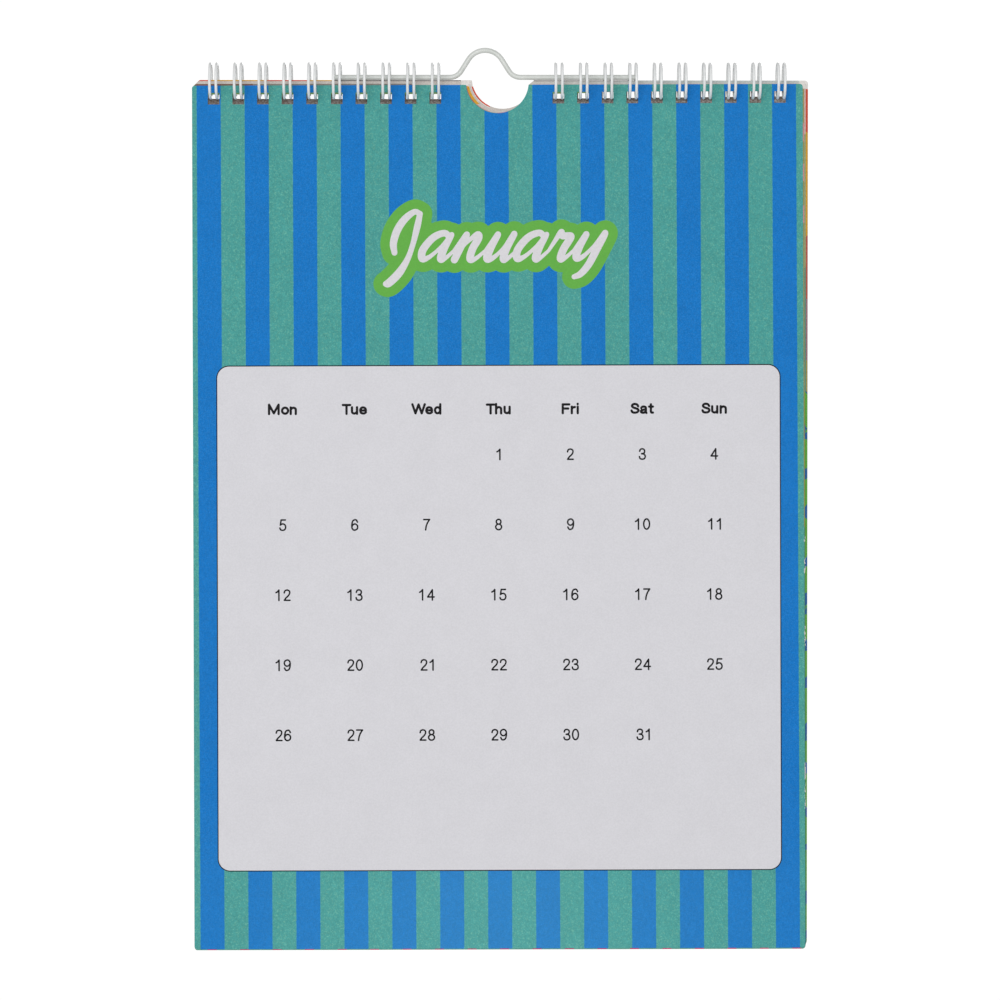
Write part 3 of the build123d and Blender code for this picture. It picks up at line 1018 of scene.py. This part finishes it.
def fanned_sheets(name, finish):
    """The later sheets as one plain mesh. Its attribute named order counts the sheets from the front."""
    outline = edge_mesh(name + "_outline", [sheet_outline()])
    holes = edge_mesh(name + "_holes", hole_outlines())
    fan = outline.modifiers.new("fan", "NODES")
    fan.node_group = fan_tree()
    values = {"Holes": holes, "Sheets": LATER_SHEETS, "Thickness": SHOWN_THICKNESS * MM,
              "Spacing": SHEET_SPACING * MM, "Shift": STACK_SHIFT * MM, "Rise": SHOWN_STACK_RISE * MM,
              "First turn": math.radians(FRONT_TURN), "Last turn": math.radians(REAR_TURN),
              "First hole shift": FRONT_HOLE_SHIFT * MM, "Last hole shift": REAR_HOLE_SHIFT * MM,
              "Hole top": (HOLE_SIDE / 2 - HOLE_DROP) * MM,
              "Height gain": SHOWN_HEIGHT_GAIN_SHARE, "Finish": finish}
    for socket in fan.node_group.interface.items_tree:
        if socket.name in values:
            fan[socket.identifier] = values[socket.name]
    mesh = bpy.data.meshes.new_from_object(outline.evaluated_get(bpy.context.evaluated_depsgraph_get()))
    outline.modifiers.remove(fan)
    for drawn in (outline, holes):
        drawn_mesh = drawn.data
        bpy.data.objects.remove(drawn)
        bpy.data.meshes.remove(drawn_mesh)
    place = Vector((TOP_MIDDLE_X, LATER_Y, FRONT_TOP_Z)) * MM
    mesh.transform(Matrix.Translation(place) @ Matrix.Rotation(math.radians(90), 4, "X"))
    return mesh


panel_ink = flat_ink("panel_ink", PANEL_INK, roughness=0.6)
text_ink = flat_ink("text_ink", TEXT_INK, roughness=0.55)
letter_ink = flat_ink("letter_ink", LETTER_INK, roughness=0.6)
green_ink = flat_ink("green_halo_ink", HALO_INK, roughness=0.6)
blue_ink = flat_ink("blue_halo_ink", BLUE_INK, roughness=0.6)

print_page("front", (0, FRONT_Y), "turning_leaf", "January", green_ink,
           first_column=3, day_count=31)
print_page("second", (order_share(0), LATER_Y), "bound_pad", "February", blue_ink,
           first_column=6, day_count=28)


def dress(node_name, material):
    """Gives a node of the frame its finish."""
    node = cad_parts[node_name]
    for place in node.material_slots:
        place.material = material
    if not node.material_slots:
        node.data.materials.append(material)


dress("hanger_wire", coated_wire("hanger_coat", HANGER_WHITE, HANGER_SHADE))
binding_coat = coated_wire("binding_coat", BINDING_WHITE, BINDING_SHADE)
dress("binding_wire_left", binding_coat)
dress("binding_wire_right", binding_coat)
dress("front_leaf", striped_paper())
sheet_finish = fanned_paper()
later_sheets = add_piece("later_sheets", fanned_sheets("later_sheets", sheet_finish), sheet_finish,
                         "bound_pad")
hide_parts("later_leaves")
dress("rear_cover", cover_card())

# Studio: a white surround, two large soft lights and a plain pale floor well below. Lengths in metres.
WHITE = (1, 1, 1, 1)
SEEN_STRENGTH = 1.03
SURROUND_STRENGTH = 0.5
PAD_MIDDLE = (0, 0, -0.15)
LIGHT_SIZE = 1.3
FLOOR_RADIUS = 1.6
FLOOR_HEIGHT = -0.62

world = bpy.data.worlds.new("white_studio")
scene.world = world
world.use_nodes = True
studio = world.node_tree
studio.nodes.clear()
seen = step(studio, "ShaderNodeBackground", {"Color": WHITE, "Strength": SEEN_STRENGTH}).outputs[0]
surround = step(studio, "ShaderNodeBackground", {"Color": WHITE, "Strength": SURROUND_STRENGTH}).outputs[0]
is_camera_ray = step(studio, "ShaderNodeLightPath", {}).outputs["Is Camera Ray"]
chosen = step(studio, "ShaderNodeMixShader", {0: is_camera_ray, 1: surround, 2: seen}).outputs[0]
step(studio, "ShaderNodeOutputWorld", {0: chosen})


def soft_light(name, place, power):
    """A large round light that points at the middle of the pad."""
    lamp_data = bpy.data.lights.new(name, "AREA")
    lamp_data.shape = "DISK"
    lamp_data.size = LIGHT_SIZE
    lamp_data.energy = power
    lamp = bpy.data.objects.new(name, lamp_data)
    scene.collection.objects.link(lamp)
    lamp.location = place
    lamp.rotation_euler = (Vector(PAD_MIDDLE) - Vector(place)).to_track_quat("-Z", "Y").to_euler()


soft_light("front_light", place=(-0.35, -2.3, 0.25), power=24)
soft_light("back_light", place=(0.5, 2.2, 0.5), power=10)

floor_mesh = bpy.data.meshes.new("floor")
disc = bmesh.new()
bmesh.ops.create_circle(disc, cap_ends=True, segments=96, radius=FLOOR_RADIUS)
bmesh.ops.translate(disc, verts=disc.verts, vec=(0, 0, FLOOR_HEIGHT))
disc.to_mesh(floor_mesh)
disc.free()
floor = bpy.data.objects.new("floor", floor_mesh)
scene.collection.objects.link(floor)
floor_mesh.materials.append(flat_ink("pale_floor", FLOOR_PALE, roughness=0.8))

scene.view_settings.view_transform = "Standard"
scene.view_settings.look = "None"
